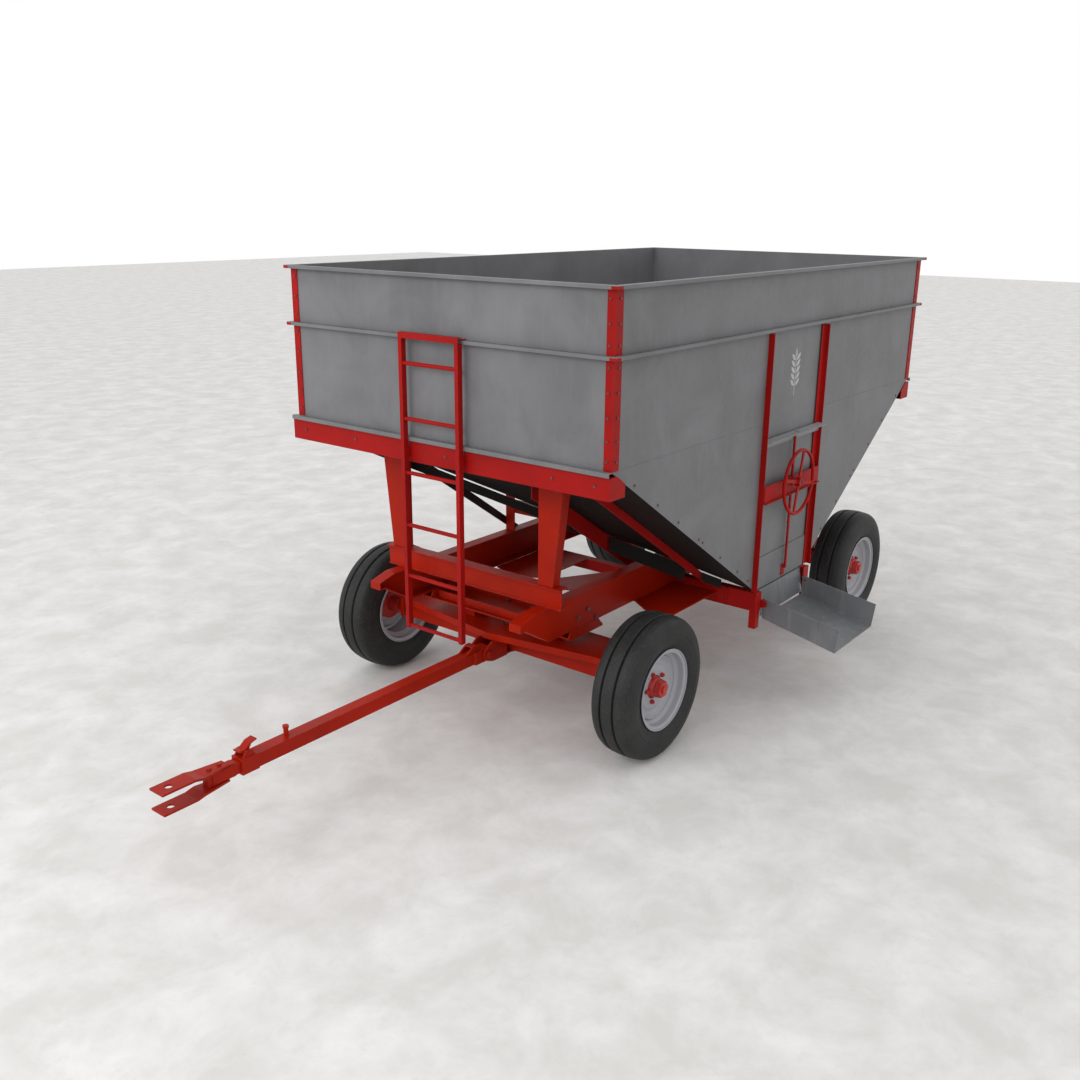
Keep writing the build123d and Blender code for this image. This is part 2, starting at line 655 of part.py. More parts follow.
# ------------------------------------------------------------------- ladder
LAD_X0, LAD_X1 = 32.0, 62.0
LAD_HW = 190.0
LAD_W = 22.0
LAD_XC = (LAD_X0 + LAD_X1) / 2
with BuildPart() as ladder_rails:
    t = 3.5
    for s in (1, -1):
        o, i = s * LAD_HW, s * (LAD_HW - LAD_W)
        prism_z([(LAD_X1, o), (LAD_X1, i), (LAD_X0, i), (LAD_X0, i + s * t),
                 (LAD_X1 - t, i + s * t), (LAD_X1 - t, o - s * t),
                 (LAD_X0, o - s * t), (LAD_X0, o)], 586, 2046)
        # brackets to the middle rail and the sill
        y0, y1 = s * (LAD_HW - LAD_W), s * (LAD_HW - 2)
        box(0.2, LAD_X0 + 1, y0, y1, Z_MID + 0.3, Z_MID + 5.3)
        box(16.2, LAD_X0 + 1, y0, y1, 1470, 1520)
    # cap across the top
    prism_y([(LAD_X1, 2074), (LAD_X0, 2074), (LAD_X0, 2070), (LAD_X1 - 4, 2070),
             (LAD_X1 - 4, 2046), (LAD_X1, 2046)], -LAD_HW, LAD_HW)
ladder_rails.part.label = "ladder_rails"
export_step(ladder_rails.part, "parts/ladder_rails.step")

RUNGS = [1929, 1663, 1397, 1131, 865, 599]
with BuildPart() as ladder_rungs:
    for z in RUNGS:
        rod(LAD_XC, 0, z, "y", 10, 2 * (LAD_HW - LAD_W) - 0.4)
ladder_rungs.part.label = "ladder_rungs"
export_step(ladder_rungs.part, "parts/ladder_rungs.step")


# ------------------------------------------------------------- running gear
# Fixed cross plates with end gussets, one over each axle, under the rails.
def saddle(xc):
    """Cross beam between the rails over an axle."""
    t = 8.0
    prism_y([(xc + 130, 552), (xc - 150, 552), (xc - 150, 544),
             (xc + 130, 544)], -512, 512)
    for s in (1, -1):
        y0, y1 = s * 440, s * 512
        prism_y([(xc + 130, RAIL_BOT - 0.2), (xc - 110, RAIL_BOT - 0.2),
                 (xc - 150, 552), (xc + 150, 552)], y1, y1 - s * t)
        prism_y([(xc + 130, RAIL_BOT - 0.2), (xc - 110, RAIL_BOT - 0.2),
                 (xc - 150, 552), (xc + 150, 552)], y0, y0 + s * t)
    for sx in (90, -125):
        box(xc + sx, xc + sx + t, -432, 432, 552, 592)


with BuildPart() as axle_saddles:
    saddle(FRONT_AXLE_X)
    saddle(REAR_AXLE_X)
axle_saddles.part.label = "axle_saddles"
export_step(axle_saddles.part, "parts/axle_saddles.step")

# Front axle: a wide hat section with a pointed front over a square beam.
# The tongue steers a yoke on a pin through both; the wheels turn on knuckles.
AX_Z = WHEEL_R
KNUCKLE_Y = 735.0
ARM_X = -681.0          # steering arm pins, 150 mm behind the knuckle pins
with BuildPart() as front_axle_deck:
    outline = [(-335, 0), (-431, 640), (-431, 700), (-690, 700), (-690, -700),
               (-431, -700), (-431, -640)]
    prism_z(outline, 474, 480)
    with BuildSketch(at(0, 0, 444)):
        with BuildLine():
            Polyline(*outline, close=True)
        make_face()
        with BuildLine():
            Polyline((-341, 0), (-437, 640), (-437, 705), (-684, 705),
                     (-684, -705), (-437, -705), (-437, -640), close=True)
        make_face(mode=Mode.SUBTRACT)
    extrude(amount=30)
    rod(KING_X, 0, 470, "z", 25.05, 40, Mode.SUBTRACT)
    # webs that stand on the axle beam, and pads under the saddle
    x = FRONT_AXLE_X
    for y in (-620, 620):
        box(x - 100, x + 80, y - 4, y + 4, 434.2, 474)
    for s in (1, -1):
        box(x - 100, x + 150, s * 120, s * 128, 444.2, 474)
        box(x - 60, x + 60, s * 200, s * 330, 480, 543.8)
front_axle_deck.part.label = "front_axle_deck"
export_step(front_axle_deck.part, "parts/front_axle_deck.step")

with BuildPart() as king_pin:
    rod(KING_X, 0, (322 + 490) / 2, "z", 25, 168)
    rod(KING_X, 0, 488, "z", 36, 12)
    rod(KING_X, 0, 325, "z", 40, 11.6)
king_pin.part.label = "king_pin"
export_step(king_pin.part, "parts/king_pin.step")


def beam(xc, top):
    """Square tube axle, closed at both ends."""
    h = 45.0
    box(xc - h, xc + h, -712, 712, top - 90, top)
    box(xc - h + 7, xc + h - 7, -713, 713, top - 83, top - 7, Mode.SUBTRACT)
    for s in (1, -1):
        box(xc - h, xc + h, s * 706, s * 720, top - 90, top)


def spindle(xc, s):
    """Stepped stub the hub runs on."""
    rod(xc, s * 808, AX_Z, "y", 22, 112)
    rod(xc, s * 893, AX_Z, "y", 18, 60)


with BuildPart() as front_axle_beam:
    beam(FRONT_AXLE_X, 434)
    rod(KING_X, 0, 389, "z", 25.05, 120, Mode.SUBTRACT)
    for s in (1, -1):
        box(FRONT_AXLE_X - 45, FRONT_AXLE_X + 45, s * 300, s * 308, 434.0, 444)
        rod(FRONT_AXLE_X, s * KNUCKLE_Y, 389, "z", 34, 90)
        rod(FRONT_AXLE_X, s * KNUCKLE_Y, 389, "z", 16.06, 100, Mode.SUBTRACT)
front_axle_beam.part.label = "front_axle_beam"
export_step(front_axle_beam.part, "parts/front_axle_beam.step")

# Steering knuckles: two plates over and under the beam end on a pin, a cheek
# block, the stub the hub runs on and a rearward arm.
for side, s in (("left", 1), ("right", -1)):
    x = FRONT_AXLE_X
    with BuildPart() as knuckle:
        prism_z([(x + 40, s * 800), (x - 40, s * 800), (x - 48, s * 757),
                 (ARM_X - 18, s * 757), (ARM_X - 24, s * 735),
                 (ARM_X - 18, s * 713), (x - 60, s * 713), (x - 20, s * 698),
                 (x + 20, s * 698), (x + 40, s * 718)], 331, 343)
        prism_z([(x + 40, s * 800), (x - 40, s * 800), (x - 40, s * 718),
                 (x - 20, s * 698), (x + 20, s * 698), (x + 40, s * 718)],
                435, 443.5)
        box(x - 40, x + 40, s * 772, s * 800, 331, 443.5)
        rod(x, s * KNUCKLE_Y, (324 + 452) / 2, "z", 16, 128)
        rod(x, s * 806, AX_Z, "y", 30, 14)
        rod(x, s * 830, AX_Z, "y", 22, 69)
        rod(x, s * 893, AX_Z, "y", 18, 60)
        rod(ARM_X, s * KNUCKLE_Y, 316.5, "z", 8, 31)
    knuckle.part.label = "knuckle_" + side
    export_step(knuckle.part, "parts/knuckle_" + side + ".step")

# Track rod behind the beam, from knuckle arm to yoke to knuckle arm.
with BuildPart() as track_rod:
    rod(ARM_X, 0, 315, "y", 11, 2 * KNUCKLE_Y)
    for y in (-KNUCKLE_Y, 0, KNUCKLE_Y):
        rod(ARM_X, y, 315, "z", 20, 22)
    for y, r in ((-KNUCKLE_Y, 8.4), (0, 8.06), (KNUCKLE_Y, 8.4)):
        rod(ARM_X, y, 315, "z", r, 40, Mode.SUBTRACT)
track_rod.part.label = "track_rod"
export_step(track_rod.part, "parts/track_rod.step")

with BuildPart() as rear_axle_beam:
    beam(REAR_AXLE_X, 434)
    for s in (1, -1):
        rod(REAR_AXLE_X, s * 740, AX_Z, "y", 34, 44)
        spindle(REAR_AXLE_X, s)
rear_axle_beam.part.label = "rear_axle_beam"
export_step(rear_axle_beam.part, "parts/rear_axle_beam.step")

with BuildPart() as rear_axle_deck:
    x = REAR_AXLE_X
    prism_z([(x + 140, -700), (x + 140, 700), (x - 140, 700),
             (x - 140, -700)], 474, 480)
    for s in (1, -1):
        box(x + s * 134, x + s * 140, -700, 700, 444, 474)
        box(x - 60, x + 60, s * 200, s * 330, 480, 543.8)
    for y in (-620, -310, 310, 620):
        box(x - 100, x + 100, y - 4, y + 4, 434.2, 474)
rear_axle_deck.part.label = "rear_axle_deck"
export_step(rear_axle_deck.part, "parts/rear_axle_deck.step")

# ------------------------------------------------------------------- wheels
def ring(xc, yc, pts):
    """Revolve an (outboard, radius) profile about the wheel axis."""
    with BuildSketch(at(xc, yc, AX_Z, (0, 1, 0), (1, 0, 0))) as profile:
        with BuildLine():
            Polyline(*pts, close=True)
        make_face()
    revolve(profile.sketch, axis=line_y(xc, AX_Z))


def tyre_profile():
    """Ribbed implement tyre, outside then inside."""
    half = [(0, 370), (28, 369.6), (33, 352), (41, 351.5), (46, 367.6),
            (78, 362), (92, 354), (101, 341), (108, 322), (112, 300),
            (112.5, 280), (110, 258), (105, 238), (98, 222), (91, 212),
            (88, 204), (85, 190.8)]
    inner = [(70, 190.8), (76, 206), (90, 235), (97, 262), (98, 285),
             (92, 312), (80, 332), (50, 339), (0, 342)]
    left = [(-a, r) for a, r in reversed(half[1:])]
    inner_left = [(-a, r) for a, r in reversed(inner[:-1])]
    return half + inner + inner_left + left


RIM_PTS = [(104, 206), (104, 210), (99, 210), (94, 205), (92, 190.4),
           (58, 189), (44, 166), (-48, 166), (-60, 189), (-92, 190.4),
           (-94, 205), (-99, 210), (-104, 210), (-104, 206), (-98, 204),
           (-96, 186.5), (-62, 185), (-50, 162), (46, 162), (60, 185),
           (96, 186.5), (98, 204)]
DISC_PTS = [(38, 60), (38, 112), (30, 122), (30, 136), (40, 148), (52, 156),
            (52, 162.4), (46, 162.4), (34, 150), (23, 138), (23, 120),
            (31, 110), (31, 60)]


def flip(pts, s):
    return [(s * a, r) for a, r in pts]


WHEELS = {"front_left": (FRONT_AXLE_X, 1), "front_right": (FRONT_AXLE_X, -1),
          "rear_left": (REAR_AXLE_X, 1), "rear_right": (REAR_AXLE_X, -1)}
for corner, (xc, s) in WHEELS.items():
    yc = s * TRACK_HALF
    with BuildPart() as tyre:
        ring(xc, yc, tyre_profile())
    tyre.part.label = "tyre_" + corner
    export_step(tyre.part, "parts/tyre_" + corner + ".step")

    with BuildPart() as rim:
        ring(xc, yc, flip(RIM_PTS, s))
        ring(xc, yc, flip(DISC_PTS, s))
    rim.part.label = "rim_" + corner
    export_step(rim.part, "parts/rim_" + corner + ".step")

    # Hub: flange behind the disc, barrel and bearing bore for the spindle,
    # with a six-sided dust cap on the nose.
    with BuildPart() as hub:
        ring(xc, yc, flip([(-60, 22.06), (-60, 42), (10, 46), (20, 92),
                           (30.8, 92), (30.8, 59.8), (52, 50), (60, 44),
                           (72, 44), (72, 0), (34, 0), (34, 18.06),
                           (-30, 18.06), (-30, 22.06)], s))
        with BuildSketch(at(xc, yc + s * 60, AX_Z, (1, 0, 0), (0, s, 0))):
            RegularPolygon(48, 6)
        extrude(amount=34, taper=7)
        rod(xc, yc + s * 98, AX_Z, "y", 20, 10)
        # wheel nuts on studs, five to a wheel
        for i in range(5):
            a = radians(72 * i + 18)
            x, z = xc + 76 * sin(a), AX_Z + 76 * cos(a)
            with BuildSketch(at(x, yc + s * 38.2, z, (1, 0, 0), (0, s, 0))):
                RegularPolygon(11.5, 6)
            extrude(amount=14)
            rod(x, yc + s * 54, z, "y", 6, 8)
    hub.part.label = "hub_" + corner
    export_step(hub.part, "parts/hub_" + corner + ".step")


# ------------------------------------------------------------------- tongue
# Steering yoke: plates over and under the beam on the steering pin, cheeks
# that hold the tongue's pin, and a rearward arm for the track rod.
with BuildPart() as steering_yoke:
    prism_z([(-350, 50), (-350, -50), (-565, -50), (-605, -24),
             (ARM_X - 18, -24), (ARM_X - 26, 0), (ARM_X - 18, 24), (-605, 24),
             (-565, 50)], 331, 343)
    prism_z([(-350, 50), (-350, -50), (-560, -50), (-584, -30), (-584, 30),
             (-560, 50)], 435, 443)
    rod(KING_X, 0, 389, "z", 25.0, 130, Mode.SUBTRACT)
    for s in (1, -1):
        prism_y([(-436, 443), (-320, 443), (-266, 404), (-258, 378),
                 (-272, 352), (-320, 334), (-350, 331), (-436, 331)],
                s * 46, s * 56)
    box(-444, -436, -56, 56, 331, 443)
    rod(TONGUE_PIN_X, 0, TONGUE_Z, "y", 14.0, 140)
    for s in (1, -1):
        rod(TONGUE_PIN_X, s * 61, TONGUE_Z, "y", 22, 10)
    rod(ARM_X, 0, 316.5, "z", 8, 31)
steering_yoke.part.label = "steering_yoke"
export_step(steering_yoke.part, "parts/steering_yoke.step")

T_W = 64.0
TUBE_END = 1175.0
with BuildPart() as tongue_tube:
    # wide root casting, then a square tube standing on its edges
    box(-330, -205, -44, 44, TONGUE_Z - 34, TONGUE_Z + 34)
    box(-206, TUBE_END, -T_W / 2, T_W / 2, TONGUE_Z - T_W / 2,
        TONGUE_Z + T_W / 2)
    box(-120, TUBE_END + 1, -T_W / 2 + 6, T_W / 2 - 6, TONGUE_Z - T_W / 2 + 6,
        TONGUE_Z + T_W / 2 - 6, Mode.SUBTRACT)
    rod(TONGUE_PIN_X, 0, TONGUE_Z, "y", 14.06, 120, Mode.SUBTRACT)
    for s in (1, -1):
        prism_y([(-250, TONGUE_Z + 34), (-150, TONGUE_Z + 34),
                 (-190, TONGUE_Z + 62), (-238, TONGUE_Z + 62)],
                s * 20, s * 28)
    box(-232, -196, -28, 28, TONGUE_Z + 61.5, TONGUE_Z + 68)
    rod(1000, 0, TONGUE_Z + T_W / 2 + 26, "z", 11, 52)
    rod(1000, 0, TONGUE_Z + T_W / 2 + 47, "z", 14, 12)
tongue_tube.part.label = "tongue_tube"
export_step(tongue_tube.part, "parts/tongue_tube.step")

COL_X0, COL_X1 = 1175.2, 1262.0
with BuildPart() as tongue_collar:
    box(COL_X0, COL_X1, -36, 36, TONGUE_Z - 36, TONGUE_Z + 36)
    box(COL_X0 - 1, COL_X1 + 1, -25.4, 25.4, TONGUE_Z - 25.4, TONGUE_Z + 25.4,
        Mode.SUBTRACT)
    for s in (1, -1):
        prism_y([(1188, TONGUE_Z + 35), (1252, TONGUE_Z + 35),
                 (1238, TONGUE_Z + 66), (1202, TONGUE_Z + 66)],
                s * 24, s * 30)
        rod(1220, s * 27, TONGUE_Z + 52, "y", 6.06, 16, Mode.SUBTRACT)
tongue_collar.part.label = "tongue_collar"
export_step(tongue_collar.part, "parts/tongue_collar.step")

with BuildPart() as latch:
    rod(1220, 0, TONGUE_Z + 52, "y", 6.0, 64)
    prism_y([(1208, TONGUE_Z + 42), (1234, TONGUE_Z + 42),
             (1240, TONGUE_Z + 58), (1262, TONGUE_Z + 64),
             (1262, TONGUE_Z + 71), (1234, TONGUE_Z + 68),
             (1204, TONGUE_Z + 92), (1170, TONGUE_Z + 99),
             (1168, TONGUE_Z + 93), (1198, TONGUE_Z + 85),
             (1210, TONGUE_Z + 64)], -20, 20)
latch.part.label = "latch"
export_step(latch.part, "parts/latch.step")

with BuildPart() as draw_bar:
    box(880, 1400, -25, 25, TONGUE_Z - 25, TONGUE_Z + 25)
    box(1286, 1420, -20, 20, TONGUE_Z - 31, TONGUE_Z + 31)
draw_bar.part.label = "draw_bar"
export_step(draw_bar.part, "parts/draw_bar.step")


def strap(s):
    """Joggled clevis strap above (1) or below (-1) the draw bar."""
    t = 9.0
    z_in, z_out = 31.2, 49.0
    pts = [(1320, z_in), (1452, z_in), (1492, z_out - t), (CLEVIS_X, z_out - t),
           (CLEVIS_X, z_out), (1488, z_out), (1448, z_in + t),
           (1320, z_in + t)]
    if s < 0:
        pts = [(x, -z) for x, z in pts]
    prism_y([(x, TONGUE_Z + z) for x, z in pts], -45, 45)
    rod(HITCH_X, 0, TONGUE_Z + s * (z_out - t / 2), "z", HITCH_R, 40,
        Mode.SUBTRACT)
    prism_z([(1310, 46), (1450, 46), (1310, 24)],
            TONGUE_Z + min(s * 30, s * 60), TONGUE_Z + max(s * 30, s * 60),
            Mode.SUBTRACT)
    prism_z([(1310, -46), (1450, -46), (1310, -24)],
            TONGUE_Z + min(s * 30, s * 60), TONGUE_Z + max(s * 30, s * 60),
            Mode.SUBTRACT)


with BuildPart() as clevis_straps:
    strap(1)
    strap(-1)
    for x in (1350, 1400):
        for s in (1, -1):
            z0 = TONGUE_Z + (40.4 if s > 0 else -48.4)
            with BuildSketch(at(x, 0, z0)):
                RegularPolygon(11, 6)
            extrude(amount=8)
clevis_straps.part.label = "clevis_straps"
export_step(clevis_straps.part, "parts/clevis_straps.step")

# ---------------------------------------------------------- box fasteners
with BuildPart() as bolts:
    def head(x, y, z, nrm, r=5.6, h=3.6):
        with Locations(at(x, y, z, (0, 0, 1), nrm)):
            Cylinder(r, h, align=(Align.CENTER, Align.CENTER, Align.MIN))

    rows = [1612, 1700, 1800, 1905, 2010, 2100, 2190, 2290]
    for sx in (1, -1):
        xw = POST_T if sx > 0 else -BOX_L - POST_T
        for sy in (1, -1):
            for z in rows:
                head(xw, sy * (HW - 22), z, (sx, 0, 0))
                head((0 if sx > 0 else -BOX_L) - sx * 26,
                     sy * (HW + POST_T), z, (0, sy, 0))
    for k in (1, -1):
        fx = (lambda v: v) if k > 0 else mirror_x
        for xb in (-182, -382, -572, -774, -814, -1004, -1199, -1330):
            head(fx(xb), HW, slope_z(xb) + 27, (0, 1, 0), 5.6, 3.6)
        for y in (-940, -560, 60, 700, 930):
            head(fx(16), y, 1502, (k, 0, 0), 6.2, 4.5)
    for xc in (FRONT_AXLE_X, REAR_AXLE_X):
        for dx in (-92, 62):
            for y in (-88, 88):
                with BuildSketch(at(xc + dx, y, 552.2)):
                    RegularPolygon(13, 6)
                extrude(amount=9)
        for s in (1, -1):
            for dx, z in ((-14, 675), (-86, 612), (70, 650)):
                with BuildSketch(at(xc + dx, s * 510.2, z, (1, 0, 0),
                                    (0, s, 0))):
                    RegularPolygon(12, 6)
                extrude(amount=8)
bolts.part.label = "bolts"
export_step(bolts.part, "parts/bolts.step")
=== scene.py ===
import json
import math
import random

import bpy
import numpy as np
from mathutils import Matrix, Vector


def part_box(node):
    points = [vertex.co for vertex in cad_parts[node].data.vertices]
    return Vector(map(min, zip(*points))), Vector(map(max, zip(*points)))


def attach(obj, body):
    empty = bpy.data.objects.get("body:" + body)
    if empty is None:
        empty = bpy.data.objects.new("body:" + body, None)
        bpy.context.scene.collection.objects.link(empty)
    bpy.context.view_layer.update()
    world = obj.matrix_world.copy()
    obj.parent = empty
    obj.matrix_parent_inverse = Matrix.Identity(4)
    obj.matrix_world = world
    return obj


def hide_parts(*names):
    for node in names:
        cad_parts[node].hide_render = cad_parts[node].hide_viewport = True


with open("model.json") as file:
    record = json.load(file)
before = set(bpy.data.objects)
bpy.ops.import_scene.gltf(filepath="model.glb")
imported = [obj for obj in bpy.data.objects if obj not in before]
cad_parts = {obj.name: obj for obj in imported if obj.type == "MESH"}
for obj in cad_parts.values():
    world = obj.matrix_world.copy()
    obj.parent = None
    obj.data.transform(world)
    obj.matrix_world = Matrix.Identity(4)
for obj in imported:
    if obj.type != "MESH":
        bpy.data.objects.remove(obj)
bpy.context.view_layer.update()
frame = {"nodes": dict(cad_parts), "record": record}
random.seed(11)

XO, YO = -907.75, 222.0     # part coordinates (mm) to the row frame


def P(x, y, z):
    return Vector(((x - XO) / 1000, (y - YO) / 1000, z / 1000))


# ------------------------------------------------------------------ materials
class Mat:
    """A node tree being filled in."""

    def __init__(self, name):
        self.m = bpy.data.materials.new(name)
        self.m.use_nodes = True
        self.t = self.m.node_tree
        self.t.nodes.clear()
        self.out = self.n("ShaderNodeOutputMaterial")
        self.b = self.n("ShaderNodeBsdfPrincipled")
        self.l(self.b.outputs[0], self.out.inputs["Surface"])
        self.co = self.n("ShaderNodeTexCoord").outputs["Object"]

    def n(self, kind, **inputs):
        node = self.t.nodes.new(kind)
        for k, v in inputs.items():
            if k in node.inputs.keys():
                node.inputs[k].default_value = v
        return node

    def l(self, a, b):
        self.t.links.new(a, b)

    def noise(self, scale, detail=4, rough=0.55, stretch=None, distortion=0.0):
        src = self.co
        if stretch:
            mp = self.n("ShaderNodeMapping")
            mp.inputs["Scale"].default_value = stretch
            self.l(self.co, mp.inputs["Vector"])
            src = mp.outputs["Vector"]
        nz = self.n("ShaderNodeTexNoise", Scale=scale, Detail=detail,
                    Roughness=rough, Distortion=distortion)
        self.l(src, nz.inputs["Vector"])
        return nz.outputs["Fac"]

    def ramp(self, fac, lo, hi, a=0.0, b=1.0):
        r = self.n("ShaderNodeMapRange")
        r.inputs["From Min"].default_value = lo
        r.inputs["From Max"].default_value = hi
        r.inputs["To Min"].default_value = a
        r.inputs["To Max"].default_value = b
        r.clamp = True
        self.l(fac, r.inputs["Value"])
        return r.outputs["Result"]

    def math(self, op, a, b):
        m = self.n("ShaderNodeMath")
        m.operation = op
        for i, v in enumerate((a, b)):
            if isinstance(v, (int, float)):
                m.inputs[i].default_value = v
            else:
                self.l(v, m.inputs[i])
        return m.outputs[0]

    def mix(self, fac, a, b):
        m = self.n("ShaderNodeMix")
        m.data_type = "RGBA"
        if isinstance(fac, (int, float)):
            m.inputs[0].default_value = fac
        else:
            self.l(fac, m.inputs[0])
        for i, v in ((6, a), (7, b)):
            if isinstance(v, (tuple, list)):
                m.inputs[i].default_value = (*v[:3], 1)
            else:
                self.l(v, m.inputs[i])
        return m.outputs[2]

    def edge(self, radius=0.004):
        """1 on outside edges."""
        bv = self.n("ShaderNodeBevel", Radius=radius)
        bv.samples = 4
        geo = self.n("ShaderNodeNewGeometry")
        dot = self.n("ShaderNodeVectorMath")
        dot.operation = "DOT_PRODUCT"
        self.l(bv.outputs[0], dot.inputs[0])
        self.l(geo.outputs["Normal"], dot.inputs[1])
        return self.ramp(dot.outputs["Value"], 0.97, 0.80)

    def bump(self, *layers, radius=0.0):
        """Layers are (fac, strength, distance)."""
        last = None
        if radius:
            bv = self.n("ShaderNodeBevel", Radius=radius)
            bv.samples = 4
            last = bv.outputs[0]
        for fac, strength, dist in layers:
            bp = self.n("ShaderNodeBump", Strength=strength, Distance=dist)
            self.l(fac, bp.inputs["Height"])
            if last is not None:
                self.l(last, bp.inputs["Normal"])
            last = bp.outputs[0]
        self.l(last, self.b.inputs["Normal"])


def painted(name, base, rough=0.42, vary=0.14, wear=0.5, dust=0.25,
            dust_col=(0.42, 0.40, 0.37), under=(0.20, 0.16, 0.14),
            waves=0.0, blotch=2.2, spec=0.5, metallic=0.0):
    """Sprayed paint over steel: soft mottling, dust, rubbed edges, painted
    highlight along outside edges.
    """
    k = Mat(name)
    dark = tuple(c * (1 - vary) for c in base)
    light = tuple(min(1, c * (1 + vary)) for c in base)
    soft = k.noise(blotch, 5, 0.6, distortion=0.6)
    fine = k.noise(38, 6, 0.65)
    streak = k.noise(6, 5, 0.6, stretch=(4.5, 4.5, 0.6))
    col = k.mix(k.ramp(soft, 0.32, 0.68), dark, light)
    col = k.mix(k.math("MULTIPLY", k.ramp(streak, 0.50, 0.78), dust), col,
                dust_col)
    col = k.mix(k.math("MULTIPLY", k.ramp(fine, 0.55, 0.8), dust * 0.6), col,
                tuple(c * 0.8 for c in base))
    e = k.edge(0.0035)
    worn = k.math("MULTIPLY", e, k.ramp(k.noise(55, 4, 0.6), 0.46, 0.62))
    worn = k.math("MULTIPLY", worn, wear)
    # painted highlight: outside edges lightened towards a brighter copy of the
    # base colour
    col_with_painted_edge_highlight = k.mix(k.math("MULTIPLY", e, 0.35), col,
                tuple(min(1, c * 1.35 + 0.012) for c in base))
    col = k.mix(worn, col_with_painted_edge_highlight, under)
    k.l(col, k.b.inputs["Base Color"])
    rg = k.math("ADD", k.ramp(soft, 0.3, 0.7, -0.07, 0.09),
                k.ramp(fine, 0.3, 0.7, rough - 0.05, rough + 0.06))
    k.l(rg, k.b.inputs["Roughness"])
    k.b.inputs["Metallic"].default_value = metallic
    k.b.inputs["Specular IOR Level"].default_value = spec
    layers = [(k.noise(900, 2, 0.5), 0.05, 0.0006), (fine, 0.10, 0.0012)]
    if waves:
        layers.append((k.noise(1.35, 2, 0.4), waves, 0.02))
    k.bump(*layers, radius=0.0022)
    return k.m


def rubber(name):
    k = Mat(name)
    soft = k.noise(5, 5, 0.6)
    fine = k.noise(70, 6, 0.7)
    col = k.mix(k.ramp(soft, 0.35, 0.7), (0.014, 0.014, 0.014),
                (0.027, 0.027, 0.027))
    col = k.mix(k.math("MULTIPLY", k.ramp(fine, 0.52, 0.8), 0.35), col,
                (0.13, 0.125, 0.115))
    # painted highlight: outside edges lightened to grey
    e = k.edge(0.003)
    col = k.mix(k.math("MULTIPLY", e, 0.25), col, (0.12, 0.12, 0.12))
    k.l(col, k.b.inputs["Base Color"])
    k.l(k.ramp(fine, 0.3, 0.75, 0.50, 0.72), k.b.inputs["Roughness"])
    k.b.inputs["Specular IOR Level"].default_value = 0.28
    k.bump((fine, 0.18, 0.001), (k.noise(420, 3, 0.6), 0.12, 0.0008))
    return k.m


def steel(name, base=(0.36, 0.35, 0.34), rough=0.38, rust=0.25):
    k = Mat(name)
    soft = k.noise(9, 5, 0.6)
    line = k.noise(60, 4, 0.6, stretch=(1, 8, 8))
    col = k.mix(k.ramp(soft, 0.35, 0.65), base, tuple(c * 0.72 for c in base))
    col = k.mix(k.math("MULTIPLY", k.ramp(k.noise(26, 6, 0.7), 0.55, 0.72),
                       rust), col, (0.16, 0.07, 0.035))
    k.l(col, k.b.inputs["Base Color"])
    k.b.inputs["Metallic"].default_value = 0.85
    k.l(k.ramp(line, 0.3, 0.7, rough - 0.08, rough + 0.14),
        k.b.inputs["Roughness"])
    k.bump((line, 0.10, 0.0006), radius=0.0015)
    return k.m


RED = (0.31, 0.005, 0.004)
GEAR = (0.34, 0.010, 0.001)
GREY = (0.158, 0.158, 0.165)
MATS = {
    "machine_red": painted("red_paint", RED, 0.42, 0.16, 0.35, 0.06,
                           dust_col=(0.28, 0.015, 0.012), spec=0.12),
    "gear_red": painted("gear_paint", GEAR, 0.42, 0.18, 0.45, 0.08,
                        dust_col=(0.30, 0.022, 0.008), spec=0.12),
    "box_grey": painted("grey_paint", GREY, 0.52, 0.17, 0.25, 0.30,
                        dust_col=(0.20, 0.20, 0.208),
                        under=(0.30, 0.30, 0.31), waves=0.10, blotch=2.4,
                        spec=0.35),
    # near-black colour is painted shade standing in for the dark underside of
    # the wagon
    "floor_grey": painted("floor_paint_painted_shade", (0.008, 0.007, 0.006), 0.65, 0.25,
                          0.2, 0.3, dust_col=(0.018, 0.016, 0.014), waves=0.12,
                          spec=0.15),
    # near-black red-brown colour is painted shade for parts sitting in shadow,
    # such as the hopper struts
    "dark_steel": painted("dark_paint_painted_shade", (0.016, 0.010, 0.010), 0.45, 0.15,
                          0.4, 0.15, dust_col=(0.06, 0.04, 0.038)),
    "trim_grey": painted("trim_paint", (0.22, 0.225, 0.235), 0.45, 0.12, 0.3,
                         0.25, under=(0.36, 0.36, 0.36)),
    "bare_steel": steel("bare_steel", (0.24, 0.11, 0.09)),
    "chute_grey": painted("chute_paint", (0.17, 0.175, 0.185), 0.42, 0.20,
                          0.6, 0.35, dust_col=(0.36, 0.37, 0.38),
                          under=(0.50, 0.50, 0.50), waves=0.05,
                          metallic=0.3),
    "bolt_steel": painted("bolt_paint", (0.085, 0.030, 0.030), 0.40, 0.2, 0.6,
                          0.2, under=(0.30, 0.28, 0.27)),
    "tyre": rubber("tyre_rubber"),
    "wheel_silver": painted("wheel_paint", (0.33, 0.335, 0.36), 0.38, 0.10,
                            0.3, 0.18, dust_col=(0.34, 0.335, 0.33),
                            under=(0.34, 0.34, 0.34)),
    "hub_red": painted("hub_paint", (0.40, 0.014, 0.010), 0.36, 0.12, 0.5,
                       0.2, dust_col=(0.42, 0.06, 0.05)),
}
MARK = painted("mark_paint", (0.42, 0.42, 0.43), 0.6, 0.12, 0.0, 0.5,
               dust_col=(0.35, 0.35, 0.36))


def dress(obj, mat):
    obj.data.materials.clear()
    obj.data.materials.append(mat)


for sub in frame["record"]["subparts"]:
    dress(frame["nodes"][sub["node"]], MATS[sub["material_slot"]])


